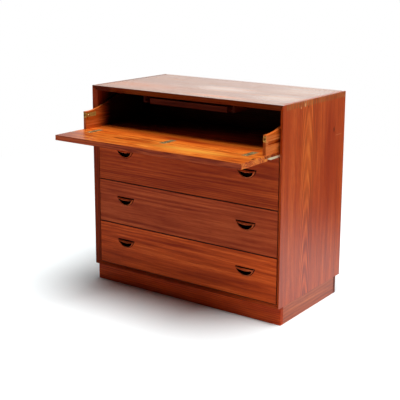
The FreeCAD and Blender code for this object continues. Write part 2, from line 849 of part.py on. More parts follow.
tray_bottom_half = tray_half - tray_wall + tray_bottom_housing
tray_bottom = board(
    -tray_bottom_half, tray_bottom_half,
    tray_box_y - tray_bottom_housing, tray_rear - tray_wall + tray_bottom_housing,
    tray_bottom_low, tray_bottom_high,
)
tray_front = board(-tray_half, tray_half, tray_setback, tray_box_y, tray_low, tray_top)
tray_back = board(
    tray_wall - tray_half, tray_half - tray_wall, tray_rear - tray_wall, tray_rear, tray_low, tray_top
)
tray_side = board(tray_half - tray_wall, tray_half, tray_box_y, tray_rear, tray_low, tray_top)
tray_wing = board(
    tray_half, hanger_web_x - wing_end_gap,
    tray_setback + wing_setback, tray_rear,
    wing_low, wing_low + wing_thickness,
)
tray_side = tray_side.fuse(tray_wing).removeSplitter().cut(tray_bottom)
hanger_web_board = board(hanger_web_x, hanger_outer_x, tray_setback, hanger_rear, hanger_low, case_ceiling)
hanger_foot = board(hanger_inner_x, hanger_web_x, tray_setback, hanger_rear, hanger_low, hanger_foot_top)
tray_hanger = hanger_web_board.fuse(hanger_foot).removeSplitter()

save("tray_hanger_left", other_hand(tray_hanger))
save("tray_hanger_right", tray_hanger)
save("tray_front", eased(tray_front, tray_setback).cut(tray_bottom))
save("tray_side_left", other_hand(tray_side))
save("tray_side_right", tray_side)
save("tray_back", tray_back.cut(tray_bottom))
save("tray_bottom", tray_bottom)
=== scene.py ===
import math

import bmesh
import bpy
from mathutils import Matrix, Vector


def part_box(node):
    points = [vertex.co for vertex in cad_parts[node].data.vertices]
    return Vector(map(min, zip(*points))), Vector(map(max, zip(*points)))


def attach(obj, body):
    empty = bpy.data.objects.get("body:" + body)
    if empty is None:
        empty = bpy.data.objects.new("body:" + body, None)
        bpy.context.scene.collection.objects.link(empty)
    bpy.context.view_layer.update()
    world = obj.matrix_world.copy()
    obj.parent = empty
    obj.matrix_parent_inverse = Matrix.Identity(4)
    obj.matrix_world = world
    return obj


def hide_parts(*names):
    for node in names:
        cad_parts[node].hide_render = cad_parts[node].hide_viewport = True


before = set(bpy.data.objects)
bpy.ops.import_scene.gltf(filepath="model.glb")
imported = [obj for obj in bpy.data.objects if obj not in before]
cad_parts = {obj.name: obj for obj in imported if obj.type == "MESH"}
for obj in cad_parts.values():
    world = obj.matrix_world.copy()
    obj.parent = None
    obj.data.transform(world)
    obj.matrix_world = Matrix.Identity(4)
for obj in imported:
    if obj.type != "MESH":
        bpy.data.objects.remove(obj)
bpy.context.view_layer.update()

# The studio: a pale floor that runs on without a horizon, and one wide softbox overhead, a little to
# the right. The floor throws its light back up on the fronts and the sides.
bpy.context.scene.view_settings.view_transform = "Standard"


def linear(colour):
    """The linear values of an sRGB hex colour."""
    shares = [int(colour[place:place + 2], 16) / 255 for place in (0, 2, 4)]
    return [s / 12.92 if s <= 0.04045 else ((s + 0.055) / 1.055) ** 2.4 for s in shares] + [1.0]


def add(tree, kind, settings=None, links=None):
    """Adds one shader node with its settings, and its inputs as values or as other nodes' outputs."""
    node = tree.nodes.new("ShaderNode" + kind)
    for name, value in (settings or {}).items():
        setattr(node, name, value)
    for name, value in (links or {}).items():
        if isinstance(value, bpy.types.NodeSocket):
            tree.links.new(value, node.inputs[name])
        else:
            node.inputs[name].default_value = value
    return node


def empty_material(name):
    """A new material with nothing in its node tree."""
    material = bpy.data.materials.new(name)
    material.use_nodes = True
    material.node_tree.nodes.clear()
    return material


FLOOR_HALF = 30.0
floor_shape = bmesh.new()
bmesh.ops.create_grid(floor_shape, x_segments=1, y_segments=1, size=FLOOR_HALF)
floor_mesh = bpy.data.meshes.new("studio_floor")
floor_shape.to_mesh(floor_mesh)
floor_shape.free()
studio_floor = bpy.data.objects.new("studio_floor", floor_mesh)
bpy.context.scene.collection.objects.link(studio_floor)

# Matt white paper. Far from the object it turns plain white to the camera and dark to reflections,
# as the paper ends there in the studio.
PAPER_DARK_FROM = (0.90, 0.35, 0.0)
paper = empty_material("matt_white_paper")
tree = paper.node_tree
paper_place = add(tree, "TexCoord").outputs["Object"]
paper_reach = add(tree, "VectorMath", {"operation": "LENGTH"}, {0: paper_place}).outputs["Value"]
rays = add(tree, "LightPath")
paper_near = add(tree, "BsdfDiffuse", links={"Color": linear("EEF3F4")}).outputs[0]
paper_white = add(tree, "Emission", links={"Strength": 1.0}).outputs[0]
paper_dark = add(tree, "Emission", links={"Strength": 0.01}).outputs[0]
white_share = add(tree, "MapRange", links={"Value": paper_reach, "From Min": 1.2, "From Max": 3.0})
paper_side = add(tree, "VectorMath", {"operation": "DISTANCE"}, {
    0: paper_place, 1: PAPER_DARK_FROM}).outputs["Value"]
dark_share = add(tree, "MapRange", links={"Value": paper_side, "From Min": 0.35, "From Max": 1.1})
for_camera = add(tree, "MixShader", links={0: white_share.outputs[0], 1: paper_near, 2: paper_white})
for_gloss = add(tree, "MixShader", links={0: dark_share.outputs[0], 1: paper_near, 2: paper_dark})
seen = add(tree, "MixShader", links={
    0: rays.outputs["Is Camera Ray"], 1: paper_near, 2: for_camera.outputs[0]})
seen = add(tree, "MixShader", links={
    0: rays.outputs["Is Glossy Ray"], 1: seen.outputs[0], 2: for_gloss.outputs[0]})
add(tree, "OutputMaterial", links={"Surface": seen.outputs[0]})
floor_mesh.materials.append(paper)

# The room: white to the camera, and white behind the object in reflections, which gives the top its
# sheen. As a light it is dim, so that the shade under the top stays deep.
ROOM_BEHIND = (-0.20, 0.98, 0.0)
ROOM_LIGHT = 0.024
room = bpy.data.worlds.new("studio_room")
bpy.context.scene.world = room
room.use_nodes = True
tree = room.node_tree
tree.nodes.clear()
towards = add(tree, "TexCoord").outputs["Generated"]
behind = add(tree, "VectorMath", {"operation": "DOT_PRODUCT"}, {
    0: towards, 1: ROOM_BEHIND}).outputs["Value"]
gloss_level = add(tree, "MapRange", links={
    "Value": behind, "From Min": 0.60, "From Max": 0.95, "To Min": 0.016, "To Max": 1.26})
rays = add(tree, "LightPath")
level = add(tree, "Mix", links={
    0: rays.outputs["Is Glossy Ray"], 2: ROOM_LIGHT, 3: gloss_level.outputs[0]}).outputs[0]
level = add(tree, "Mix", links={0: rays.outputs["Is Camera Ray"], 2: level, 3: 1.0}).outputs[0]
level = add(tree, "Mix", links={0: rays.outputs["Is Transmission Ray"], 2: level, 3: 1.0}).outputs[0]
back_light = add(tree, "Background", links={"Color": linear("FFFFFF"), "Strength": level}).outputs[0]
add(tree, "OutputWorld", links={"Surface": back_light})

SOFTBOX_FROM = Vector((0.20, -0.05, 1.0))
softbox_data = bpy.data.lights.new("overhead_softbox", "SUN")
softbox_data.energy = 4.3
softbox_data.angle = math.radians(37)
softbox = bpy.data.objects.new("overhead_softbox", softbox_data)
softbox.rotation_euler = SOFTBOX_FROM.to_track_quat("Z", "Y").to_euler()
bpy.context.scene.collection.objects.link(softbox)

# The camera stands to the right of the front, about 3.6 m away with a long lens, and looks slightly
# down. The lens's shift brings the object to the middle of the picture.
CAMERA_PLACE = (2.06220, -2.84401, 1.33245)
CAMERA_AROUND = 34.729
CAMERA_DOWN = 12.002
CAMERA_ROLL = 0.437
camera_data = bpy.data.cameras.new("camera")
camera_data.sensor_width = 36.0
camera_data.lens = 80.07
camera_data.shift_x = -0.045
camera_data.shift_y = -0.1125
camera = bpy.data.objects.new("camera", camera_data)
bpy.context.scene.collection.objects.link(camera)
around = Matrix.Rotation(math.radians(CAMERA_AROUND), 4, "Z")
tilt = Matrix.Rotation(math.radians(90 - CAMERA_DOWN), 4, "X")
roll = Matrix.Rotation(math.radians(CAMERA_ROLL), 4, "Z")
camera.matrix_world = Matrix.Translation(CAMERA_PLACE) @ around @ tilt @ roll
bpy.context.scene.camera = camera


# Case top: one wide board of teak, oiled and rubbed to a soft gloss, with its grain along the width.
# Its ends are cut into box-joint fingers whose end grain shows in the sides.
RING_STRETCH = 0.10
FIBRE_STRETCH = 0.03
FIBRE_SHARE = 0.25
# At scale 1 a wave texture's rings lie 0.314 m apart, so a scale of 314 sets them 1 mm apart.
RINGS_AT_1_MM = 314.0
# The colour of painted shade deep in carved hollows.
DEPTH_SHADE_TONE = "0E0301"


def sawn_wood(name, tones, along, heart, ring=5.0, figure=0.10, band=60.0, stretch=0.07, gloss=0.36,
              pores=0.45, end_tone=0.62, spread=0.33, shine=0.2, lean=0.0, patchy=0.0, marks=(),
              warp=7.0, outside=None, deep=None):
    """A board sawn from a log: growth rings about the log's heart, broad streaks, fibres and pores.

    along is the axis of the grain, and heart moves the log's heart off the origin. ring and band are
    the widths of rings and streaks in millimetres, figure is the rings' share of the tone, and stretch
    is a streak's width over its length. lean tilts the log so that its rings run out in pointed
    arches, and warp bends them. tones run from dark to light, spread is how far apart they lie, and
    outside is the tones of darkened outer faces. pores is how dark the pores are, and end_tone is the
    end grain's level. gloss is the finish's roughness, shine is its strength, and patchy is how
    unevenly it shines. marks are knots, streaks, stains, painted shade and painted reflection as
    (place, half sizes, colour, share, softness), and deep is an axis with two places between which
    carved wood darkens to painted shade.
    """
    material = empty_material(name)
    tree = material.node_tree
    axis = "XYZ".index(along)
    place = add(tree, "TexCoord")
    in_log = []
    for share, turn in ((RING_STRETCH, lean), (stretch, 0.0), (FIBRE_STRETCH, 0.0)):
        scale = [share if number == axis else 1.0 for number in range(3)]
        in_log.append(add(tree, "Mapping", links={
            "Vector": place.outputs["Object"], "Location": heart,
            "Rotation": (0.0, math.radians(turn), 0.0), "Scale": scale}).outputs[0])
    rings = add(tree, "TexWave", {
        "wave_type": "RINGS", "rings_direction": along, "wave_profile": "SIN"}, {
        "Vector": in_log[0], "Scale": RINGS_AT_1_MM / ring, "Distortion": warp, "Detail": 3.0,
        "Detail Scale": 0.02 + 0.03 * warp, "Detail Roughness": 0.55}).outputs["Fac"]
    bands = add(tree, "TexNoise", links={
        "Vector": in_log[1], "Scale": 1000.0 / band, "Detail": 4.0, "Roughness": 0.7,
        "Distortion": 0.4}).outputs["Fac"]
    # Fibres run in lines about 4 mm apart, coarser than the real ones so that they show.
    fibres = add(tree, "TexNoise", links={
        "Vector": in_log[2], "Scale": 250.0, "Detail": 4.0, "Roughness": 0.65}).outputs["Fac"]
    # Pores are dark dashes 1.2 mm wide and 40 mm long, drawn about four times the real width.
    dashes = add(tree, "TexNoise", links={
        "Vector": in_log[2], "Scale": 850.0, "Detail": 1.0}).outputs["Fac"]
    dashes = add(tree, "MapRange", links={
        "Value": dashes, "From Min": 0.56, "From Max": 0.68}).outputs[0]

    bands_share = 1.0 - figure - FIBRE_SHARE
    tone = add(tree, "Math", {"operation": "MULTIPLY"}, {0: bands, 1: bands_share}).outputs[0]
    tone = add(tree, "Math", {"operation": "MULTIPLY_ADD"}, {0: rings, 1: figure, 2: tone}).outputs[0]
    tone = add(tree, "Math", {"operation": "MULTIPLY_ADD"}, {0: fibres, 1: FIBRE_SHARE, 2: tone}).outputs[0]
    looks = []
    for look in (tones, outside or tones):
        ramp = add(tree, "ValToRGB", links={"Fac": tone})
        stops = ramp.color_ramp.elements
        for number, stop_tone in enumerate(look):
            at = 0.5 + spread * (number / (len(look) - 1) - 0.5)
            stop = stops[number] if number < 2 else stops.new(at)
            stop.position = at
            stop.color = linear(stop_tone)
        looks.append(ramp.outputs[0])
    # Faces that look up or to a side have the fresh tones, and marks don't reach the faces behind.
    turned = add(tree, "SeparateXYZ", links={0: place.outputs["Normal"]}).outputs
    seen = add(tree, "Math", {"operation": "LESS_THAN"}, {0: turned[1], 1: 0.5}).outputs[0]
    sideways = add(tree, "Math", {"operation": "ABSOLUTE"}, {0: turned[0]}).outputs[0]
    fresh = add(tree, "Math", {"operation": "MAXIMUM"}, {0: turned[2], 1: sideways}).outputs[0]
    fresh = add(tree, "MapRange", links={"Value": fresh, "From Min": 0.4, "From Max": 0.6}).outputs[0]
    colour = add(tree, "Mix", {"data_type": "RGBA"}, {0: fresh, 6: looks[1], 7: looks[0]}).outputs[2]
    dash_share = add(tree, "Math", {"operation": "MULTIPLY"}, {0: dashes, 1: pores}).outputs[0]
    colour = add(tree, "Mix", {"data_type": "RGBA"}, {
        0: dash_share, 6: colour, 7: linear(tones[0])}).outputs[2]
    for mark_place, mark_size, mark_colour, mark_share, softness in marks:
        near = add(tree, "Mapping", {"vector_type": "TEXTURE"}, {
            "Vector": place.outputs["Object"], "Location": mark_place, "Scale": mark_size}).outputs[0]
        near = add(tree, "VectorMath", {"operation": "LENGTH"}, {0: near}).outputs["Value"]
        near = add(tree, "Math", {"operation": "MULTIPLY_ADD"}, {
            0: fibres, 1: 1.14 * softness, 2: near}).outputs[0]
        near = add(tree, "MapRange", {"interpolation_type": "SMOOTHSTEP"}, {
            "Value": near, "From Min": 1.0 - 0.43 * softness, "From Max": 1.0 + 0.57 * softness,
            "To Min": mark_share, "To Max": 0.0})
        near = add(tree, "Math", {"operation": "MULTIPLY"}, {0: near.outputs[0], 1: seen}).outputs[0]
        colour = add(tree, "Mix", {"data_type": "RGBA"}, {
            0: near, 6: colour, 7: linear(mark_colour)}).outputs[2]
    # Painted shade: carved wood darkens towards the depth of its hollow.
    if deep:
        level = add(tree, "SeparateXYZ", links={0: place.outputs["Object"]}).outputs[deep[0]]
        level = add(tree, "MapRange", links={"Value": level, "From Min": deep[1], "From Max": deep[2]})
        colour = add(tree, "Mix", {"data_type": "RGBA"}, {
            0: level.outputs[0], 6: colour, 7: linear(DEPTH_SHADE_TONE)}).outputs[2]

    # Where the surface faces along the grain it is end grain, with its own level and a duller finish.
    # Its speckle of cut pores is drawn 1.4 mm apart, coarser than the real one so that it shows.
    facing = add(tree, "SeparateXYZ", links={0: place.outputs["Normal"]}).outputs[axis]
    facing = add(tree, "Math", {"operation": "ABSOLUTE"}, {0: facing}).outputs[0]
    end = add(tree, "MapRange", links={"Value": facing, "From Min": 0.75, "From Max": 0.95}).outputs[0]
    speckle = add(tree, "TexNoise", links={
        "Vector": place.outputs["Object"], "Scale": 700.0, "Detail": 2.0}).outputs["Fac"]
    speckle = add(tree, "MapRange", links={
        "Value": speckle, "From Min": 0.35, "From Max": 0.65,
        "To Min": 0.88 * end_tone, "To Max": 1.12 * end_tone}).outputs[0]
    grey = add(tree, "CombineColor", links={0: speckle, 1: speckle, 2: speckle}).outputs[0]
    darker = add(tree, "Mix", {"data_type": "RGBA", "blend_type": "MULTIPLY"}, {
        0: 1.0, 6: colour, 7: grey}).outputs[2]
    colour = add(tree, "Mix", {"data_type": "RGBA"}, {0: end, 6: colour, 7: darker}).outputs[2]

    rough = add(tree, "MapRange", links={
        "Value": fibres, "From Min": 0.3, "From Max": 0.7,
        "To Min": gloss - 0.05, "To Max": gloss + 0.07}).outputs[0]
    rough = add(tree, "Math", {"operation": "MULTIPLY_ADD"}, {0: end, 1: 0.2, 2: rough}).outputs[0]
    worn = add(tree, "Math", {"operation": "SUBTRACT"}, {0: bands, 1: 0.5}).outputs[0]
    rough = add(tree, "Math", {"operation": "MULTIPLY_ADD"}, {0: worn, 1: patchy, 2: rough}).outputs[0]
    height = add(tree, "Math", {"operation": "SUBTRACT"}, {0: fibres, 1: dashes}).outputs[0]
    bump = add(tree, "Bump", links={"Height": height, "Strength": 0.25, "Distance": 0.0003}).outputs[0]
    board = add(tree, "BsdfPrincipled", links={
        "Base Color": colour, "Roughness": rough, "Normal": bump, "IOR": 1.5,
        "Specular IOR Level": shine}).outputs[0]
    add(tree, "OutputMaterial", links={"Surface": board})
    return material


def dress(material, *names):
    """Gives CAD nodes their material."""
    for name in names:
        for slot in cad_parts[name].material_slots:
            slot.material = material


top_teak = sawn_wood(
    "oiled_teak_top", ("6E2E0E", "8E501E", "9E602E", "B0743C"), "X", (0.0, 0.21, -0.70), gloss=0.18,
    end_tone=1.4, shine=0.5, patchy=0.16, outside=("3C1206", "52190A", "64230F"),
    marks=[
        ((-0.32, 0.00, 0.845), (0.38, 0.13, 0.01), "B86208", 0.8, 0.9),
        ((0.13, -0.075, 0.845), (0.24, 0.045, 0.01), "CC7218", 0.75, 0.9),
        # The pale patches over the middle, the right and the back are painted reflection: the white room's
        # sheen laid into the colour.
        ((0.04, 0.11, 0.845), (0.22, 0.09, 0.01), "D2B4A0", 0.6, 0.9),
        ((0.36, 0.02, 0.845), (0.18, 0.12, 0.01), "CCB09A", 0.6, 1.0),
        ((0.34, 0.24, 0.845), (0.20, 0.14, 0.01), "C0A084", 0.5, 1.0),
    ])
dress(top_teak, "top_panel")

# Case sides: oiled teak boards with upright grain, finger-jointed to the top. The right one is sawn
# through the middle of the log, with a tall pointed figure, a dark knot and a pale scratch. The left
# one is toned dark inside, for the deep shade over the writing drawer.
side_teak_right = sawn_wood(
    "oiled_teak_right_side", ("8C2804", "B43E08", "CE4E0E", "E47028"), "Z", (-0.34, -0.066, 0.0),
    figure=0.18, band=26.0, stretch=0.05, gloss=0.33, pores=0.6, end_tone=0.8, shine=0.5, lean=28.0,
    marks=[
        ((0.46, 0.065, 0.62), (0.05, 0.075, 0.36), "F07C24", 0.28, 0.8),
        ((0.46, -0.075, 0.66), (0.05, 0.045, 0.26), "C85016", 0.25, 0.9),
        ((0.46, 0.25, 0.60), (0.05, 0.12, 0.40), "A02C06", 0.50, 0.9),
        ((0.46, 0.13, 0.70), (0.05, 0.014, 0.20), "8E2A08", 0.5, 0.9),
        ((0.46, 0.274, 0.701), (0.05, 0.008, 0.014), "4A1204", 0.8, 0.6),
        ((0.46, 0.315, 0.676), (0.05, 0.042, 0.0022), "E09060", 0.5, 0.6),
        ((0.46, 0.006, 0.822), (0.05, 0.0045, 0.007), "F0A468", 0.8, 0.3),
        ((0.46, 0.038, 0.828), (0.05, 0.0050, 0.009), "F4AE74", 0.9, 0.3),
        ((0.46, 0.062, 0.820), (0.05, 0.0035, 0.006), "6A1C04", 0.8, 0.3),
    ])
side_teak_left = sawn_wood(
    "oiled_teak_left_side", ("621804", "802808", "94340C", "A84418"), "Z", (0.40, 0.13, 0.3), band=50.0,
    end_tone=0.8, shine=0.12, marks=[((-0.443, 0.20, 0.75), (0.012, 0.31, 0.25), "180601", 0.97, 0.2)])
dress(side_teak_right, "side_panel_right")
dress(side_teak_left, "side_panel_left")

# Case bottom: an oiled teak board between the sides, whose lip shows as a narrow bevel under the
# lowest drawer. The plinth's blocks are screwed up into it.
bottom_teak = sawn_wood(
    "oiled_teak_bottom", ("6E1F08", "903512", "A4431A", "B8562A"), "X", (0.3, 0.1, -0.2))
dress(bottom_teak, "bottom_panel")

# Case back: thin plywood faced with plain veneer, left matt, and screwed into the rebates with
# slotted screws, whose bright steel glints in the pale wood.
back_plywood = sawn_wood(
    "matt_plywood_back", ("8A5A30", "A9743F", "BC8A55"), "Z", (0.9, 0.0, 0.0), ring=14.0,
    figure=0.09, band=90.0, gloss=0.62, pores=0.2, warp=18.0)
dress(back_plywood, "back_panel")


def turned_metal(name, colours, roughness, metallic=1.0):
    """Machined metal dulled by tarnish in patches about 8 mm wide; old lacquer makes it less metallic."""
    material = empty_material(name)
    tree = material.node_tree
    place = add(tree, "TexCoord").outputs["Object"]
    film = add(tree, "TexNoise", links={
        "Vector": place, "Scale": 120.0, "Detail": 3.0, "Roughness": 0.6}).outputs["Fac"]
    film = add(tree, "MapRange", links={"Value": film, "From Min": 0.35, "From Max": 0.65}).outputs[0]
    colour = add(tree, "Mix", {"data_type": "RGBA"}, {
        0: film, 6: linear(colours[0]), 7: linear(colours[1])}).outputs[2]
    # Tool marks lie about 1.4 mm apart, coarser than the real ones so that they show.
    tooling = add(tree, "TexNoise", links={
        "Vector": place, "Scale": 700.0, "Detail": 2.0}).outputs["Fac"]
    rough = add(tree, "MapRange", links={
        "Value": film, "To Min": roughness + 0.12, "To Max": roughness}).outputs[0]
    bump = add(tree, "Bump", links={"Height": tooling, "Strength": 0.2, "Distance": 0.0001}).outputs[0]
    metal = add(tree, "BsdfPrincipled", links={
        "Base Color": colour, "Roughness": rough, "Normal": bump, "Metallic": metallic}).outputs[0]
    add(tree, "OutputMaterial", links={"Surface": metal})
    return material


def stamped(template, places):
    """Copies of a small shape, each moved by its own matrix, in one new shape."""
    whole = bmesh.new()
    pattern = bpy.data.meshes.new("pattern")
    template.to_mesh(pattern)
    template.free()
    for matrix in places:
        known = len(whole.verts)
        whole.from_mesh(pattern)
        whole.verts.ensure_lookup_table()
        bmesh.ops.transform(whole, matrix=matrix, verts=whole.verts[known:])
    bpy.data.meshes.remove(pattern)
    return whole


def piece(name, shape, material, body, sharp=32):
    """Makes a named object of a finished shape, with edges sharp from an angle, riding on one body."""
    mesh = bpy.data.meshes.new(name)
    shape.to_mesh(mesh)
    shape.free()
    mesh.materials.append(material)
    mesh.shade_smooth()
    mesh.set_sharp_from_angle(angle=math.radians(sharp))
    made = bpy.data.objects.new(name, mesh)
    bpy.context.scene.collection.objects.link(made)
    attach(made, body)
    return made


def sawn_slot(shape, slot_width, slot_depth):
    """Saws a screwdriver slot across the flat top of a head."""
    for side in (-1, 1):
        everything = shape.verts[:] + shape.edges[:] + shape.faces[:]
        bmesh.ops.bisect_plane(
            shape, geom=everything, plane_co=(side * slot_width / 2, 0, 0), plane_no=(1, 0, 0))
    top = max(vertex.co.z for vertex in shape.verts)
    strip = []
    for face in shape.faces:
        middle = face.calc_center_median()
        if middle.z > 0.999 * top and abs(middle.x) < slot_width / 2:
            strip.append(face)
    sunk = bmesh.ops.extrude_face_region(shape, geom=strip)["geom"]
    sunk_points = [part for part in sunk if isinstance(part, bmesh.types.BMVert)]
    bmesh.ops.translate(shape, vec=(0, 0, -slot_depth), verts=sunk_points)
    bmesh.ops.delete(shape, geom=strip, context="FACES")


HEAD_RADIUS = 0.0036
SHANK_RADIUS = 0.0019
HEAD_DEPTH = 0.0024
SLOT_WIDTH = 0.0009
SLOT_DEPTH = 0.0011
SHORT_SCREW = 0.020


def countersunk_screw(length):
    """A wood screw that points down, with its slotted head level with z = 0."""
    shape = bmesh.new()
    head = bmesh.ops.create_cone(
        shape, cap_ends=True, segments=24, radius1=SHANK_RADIUS, radius2=HEAD_RADIUS, depth=HEAD_DEPTH)
    bmesh.ops.translate(shape, vec=(0, 0, -HEAD_DEPTH / 2), verts=head["verts"])
    foot = [face for face in shape.faces if face.normal.z < -0.9]
    shank = bmesh.ops.extrude_face_region(shape, geom=foot)["geom"]
    shank_points = [part for part in shank if isinstance(part, bmesh.types.BMVert)]
    bmesh.ops.translate(shape, vec=(0, 0, HEAD_DEPTH - length), verts=shank_points)
    bmesh.ops.delete(shape, geom=foot, context="FACES")
    sawn_slot(shape, SLOT_WIDTH, SLOT_DEPTH)
    return shape


def turned_to(facing, point, slot_angle=0.0):
    """The place of a screw whose head faces one way at a point, with its slot turned by degrees."""
    aim = Vector(facing).to_track_quat("Z", "Y").to_matrix().to_4x4()
    return Matrix.Translation(point) @ aim @ Matrix.Rotation(math.radians(slot_angle), 4, "Z")


screw_steel = turned_metal("bright_steel_screws", ("8C8A86", "C4C3BF"), 0.28)
BACK_FACE = 0.36275
BACK_HOLES = ((0.4475, 0.116), (0.4475, 0.4575), (0.4475, 0.799), (0.2215, 0.082), (0.2215, 0.8275))
back_places = []
for side in (-1, 1):
    # Every slot has stopped at an angle of its own.
    for number, (x, z) in enumerate(BACK_HOLES):
        back_places.append(turned_to((0, 1, 0), (side * x, BACK_FACE, z), 37 * number + 20 * side))
back_shape = stamped(countersunk_screw(SHORT_SCREW), back_places)
back_screws = piece("back_slotted_screws", back_shape, screw_steel, "case")
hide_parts("back_panel_screws")

# Plinth: four teak boards set back under the case. The front and back boards run through, so that
# their end grain shows at the corners, and the back one has the case bottom's duller teak. Beech
# blocks inside are screwed up into the bottom.
# The front board's tones are lightened as well: painted light, for the weaker light low down.
plinth_teak = sawn_wood(
    "oiled_teak_plinth", ("841E03", "B03408", "CA460E", "DE5E1C"), "X", (0.1, 0.5, 0.25), band=35.0,
    gloss=0.38, end_tone=0.9, shine=0.12)
plinth_teak_sides = sawn_wood(
    "oiled_teak_plinth_sides", ("8A300C", "AA4618", "BE5825", "CC6A33"), "Y", (0.2, 0.1, -0.3),
    band=35.0, gloss=0.36, shine=0.5)
BEECH_TONES = ("A9794C", "C39A6B", "D2AE82", "DCBC93")
beech = sawn_wood(
    "bare_beech", BEECH_TONES, "Y", (0.3, 0.0, 0.5), ring=7.0, figure=0.12, gloss=0.55, pores=0.25)
dress(plinth_teak, "plinth_front")
dress(bottom_teak, "plinth_back")
dress(plinth_teak_sides, "plinth_left", "plinth_right")
dress(beech, "plinth_corner_blocks")
BLOCK_LOW = 0.042
BLOCK_LEG = 0.046
BLOCK_SCREW = 0.042
PLINTH_INSIDE = 0.4405
# Where each pair of inside corners lies, and how far its blocks run from there.
PLINTH_CORNERS = ((-0.08925, BLOCK_LEG), (0.31675, -BLOCK_LEG))
block_places = []
for side in (-1, 1):
    for corner_y, leg in PLINTH_CORNERS:
        for across, inward in ((0.2, 0.5), (0.5, 0.2)):
            point = (side * (PLINTH_INSIDE - BLOCK_LEG * across), corner_y + leg * inward, BLOCK_LOW)
            block_places.append(turned_to((0, 0, -1), point, 90 * across + 40 * side))
block_shape = stamped(countersunk_screw(BLOCK_SCREW), block_places)
block_screws = piece("plinth_slotted_screws", block_shape, screw_steel, "case")
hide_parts("plinth_screws")

# Runners: bare beech strips on the insides of the case, waxed where the drawers slide on them and
# held by slotted screws.
runner_beech = sawn_wood(
    "waxed_beech_runners", BEECH_TONES, "Y", (0.8, 0.0, 0.1), ring=6.0, figure=0.12, gloss=0.42, pores=0.2)
dress(runner_beech, "desk_drawer_runners", "drawer_2_runners", "drawer_3_runners", "drawer_4_runners")
RUNNER_FACE = 0.4335
RUNNER_INSET = 0.060
runner_places = []
for name in ("desk_drawer", "drawer_2", "drawer_3", "drawer_4"):
    low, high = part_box(name + "_runners")
    middle_z = (low.z + high.z) / 2
    for side in (-1, 1):
        for y in (low.y + RUNNER_INSET, high.y - RUNNER_INSET):
            runner_places.append(turned_to((-side, 0, 0), (side * RUNNER_FACE, y, middle_z), 200 * y))
runner_shape = stamped(countersunk_screw(SHORT_SCREW), runner_places)
runner_heads = piece("runner_slotted_screws", runner_shape, screw_steel, "case")
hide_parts("runner_screws")

# Drawers: fronts of figured teak, a browner board for the middle, each with two carved pulls let
# into it. The lower fronts have lighter tones, painted light for the weaker light low down. Sides
# and backs are bare beech and the bottoms thin plywood.
FRONT_FACE = -0.11225
PULL_SPACING = 0.596
SHADE_ACROSS, SHADE_UP, SHADE_OUT = 0.080, 0.036, 0.0095
SHADE_BEHIND, SHADE_BELOW = 0.0101, 0.016
# Colours of painted shade, in the pockets of the pulls and along the gaps round the fronts.
POCKET_SHADE_TONE, EDGE_SHADE_TONE = "120301", "1A0602"
EDGE_OUT = 0.025
EDGE_LEVEL, EDGE_UPRIGHT = 0.0024, 0.0028
PAST_ALL = 3.0


def pocket_shade(centre, up, out):
    """Painted shade inside a pair of pockets, below the middles of their straight edges."""
    sizes = [SHADE_OUT * abs(out[axis]) + SHADE_UP * abs(up[axis]) for axis in range(3)]
    sizes[0] = SHADE_ACROSS
    marks = []
    for side in (-1, 1):
        middle = Vector((side * PULL_SPACING / 2, 0.0, 0.0)) + Vector(centre)
        middle -= SHADE_BEHIND * Vector(out) + SHADE_BELOW * Vector(up)
        marks.append((tuple(middle), tuple(sizes), POCKET_SHADE_TONE, 0.98, 0.1))
    return marks


def edge_shade(name):
    """Painted shade: dark lines along the edges of a front, for the shade in the gaps round it."""
    low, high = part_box(name)
    marks = []
    for z in (low.z, high.z):
        marks.append(((0.0, low.y, z), (PAST_ALL, EDGE_OUT, EDGE_LEVEL), EDGE_SHADE_TONE, 0.9, 0.5))
    for x in (low.x, high.x):
        middle = (x, low.y, (low.z + high.z) / 2)
        marks.append((middle, (EDGE_UPRIGHT, EDGE_OUT, PAST_ALL), EDGE_SHADE_TONE, 0.9, 0.5))
    return marks


# The tones, the log's heart, the width of the bands and the height of the pulls' straight edges.
drawer_looks = {
    "drawer_2": (("7C2206", "9A340C", "B04412", "C6521C"), (0.1, 0.33, -0.6), 22.0, 0.5890),
    "drawer_3": (("822A0E", "A03A16", "B64A20", "C85A2A"), (-0.7, 0.41, -0.33), 20.0, 0.3855),
    "drawer_4": (("942C06", "BA420C", "D65416", "EE6E26"), (0.6, 0.52, -0.12), 22.0, 0.2020),
}
drawer_beech = sawn_wood(
    "bare_beech_drawer_sides", BEECH_TONES, "Y", (0.5, 0.2, 0.2), ring=8.0, figure=0.05, gloss=0.5,
    pores=0.22, warp=18.0)
back_beech = sawn_wood(
    "bare_beech_drawer_backs", BEECH_TONES, "X", (0.5, 0.2, 0.7), ring=8.0, figure=0.05, gloss=0.5,
    pores=0.22, warp=18.0)
bottom_plywood = sawn_wood(
    "matt_plywood_bottoms", ("A87C4E", "BE9465", "CDA87A"), "X", (0.1, 0.4, 0.2), ring=12.0,
    figure=0.09, band=80.0, gloss=0.6, pores=0.2, warp=18.0)
# The pulls have lighter tones than the fronts: painted light, for the light that the open flap keeps off
# them.
PULL_PAINTED_LIGHT_TONES = ("8E3010", "BE4E22", "DC6C3C", "F28E5C")
# Behind the front's face they darken to near black: painted shade in the groove and under the lip.
pull_teak = sawn_wood(
    "carved_teak_pulls", PULL_PAINTED_LIGHT_TONES, "X", (0.3, 0.2, 0.1), band=20.0, ring=3.0, gloss=0.32, shine=0.15,
    deep=(1, FRONT_FACE - 0.0001, FRONT_FACE + 0.0015))
# The walls of the holes are coloured nearly black: painted shade, for the dark deep in them.
hole_shade_teak = sawn_wood(
    "hole_painted_shade_teak", ("0C0301", "120502", "180703", "200A04"), "X", (0.3, 0.2, 0.1), band=20.0,
    ring=3.0, gloss=0.45, shine=0.05)

# A pull is carved from one block: a thin foot in the pocket's step, a lip that slopes out of a dark
# groove under the straight edge, and a sharp rim that falls from the lip's ends round the hole.
ARC_STEPS = 24
